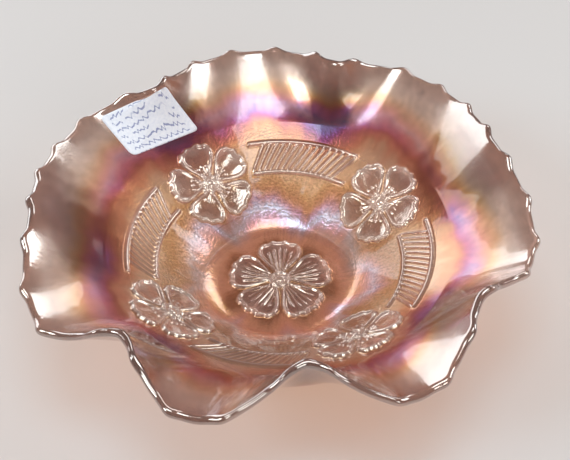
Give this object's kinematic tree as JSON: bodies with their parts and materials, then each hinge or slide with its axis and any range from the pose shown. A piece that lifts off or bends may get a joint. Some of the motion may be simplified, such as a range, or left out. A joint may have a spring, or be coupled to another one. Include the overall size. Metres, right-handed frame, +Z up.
{
  "type": "ruffled glass bowl",
  "caption": "Shallow ruffled bowl of amber iridescent pressed glass on a collar foot, with a blossom wreath moulded inside, a scalloped edge and a paper label.",
  "frame": {"origin": "centre of the foot's resting plane, on the moulding axis", "axes": "+Z up along the moulding axis, out of the bowl's mouth; -Y towards the near side; the wreath's blossoms lie near the diagonals"},
  "size_m": [0.1878, 0.1919, 0.0586],
  "materials": {
    "marigold_glass": "smooth pressed glass, amber at heart and nearly clear at the edge, with a golden, pink and blue iridescent spray on the inside",
    "label_paper": "white coated paper, slightly curled, with no lettering"
  },
  "bodies": {
    "root": {"collar_foot": "marigold_glass", "bowl_well": "marigold_glass", "ruffled_wall": "marigold_glass", "centre_flower": "marigold_glass", "wreath_flower_1": "marigold_glass", "wreath_flower_2": "marigold_glass", "wreath_flower_3": "marigold_glass", "wreath_flower_4": "marigold_glass", "wreath_band_1": "marigold_glass", "wreath_band_2": "marigold_glass", "wreath_band_3": "marigold_glass", "wreath_band_4": "marigold_glass", "price_label": "label_paper"}
  },
  "joints": []
}
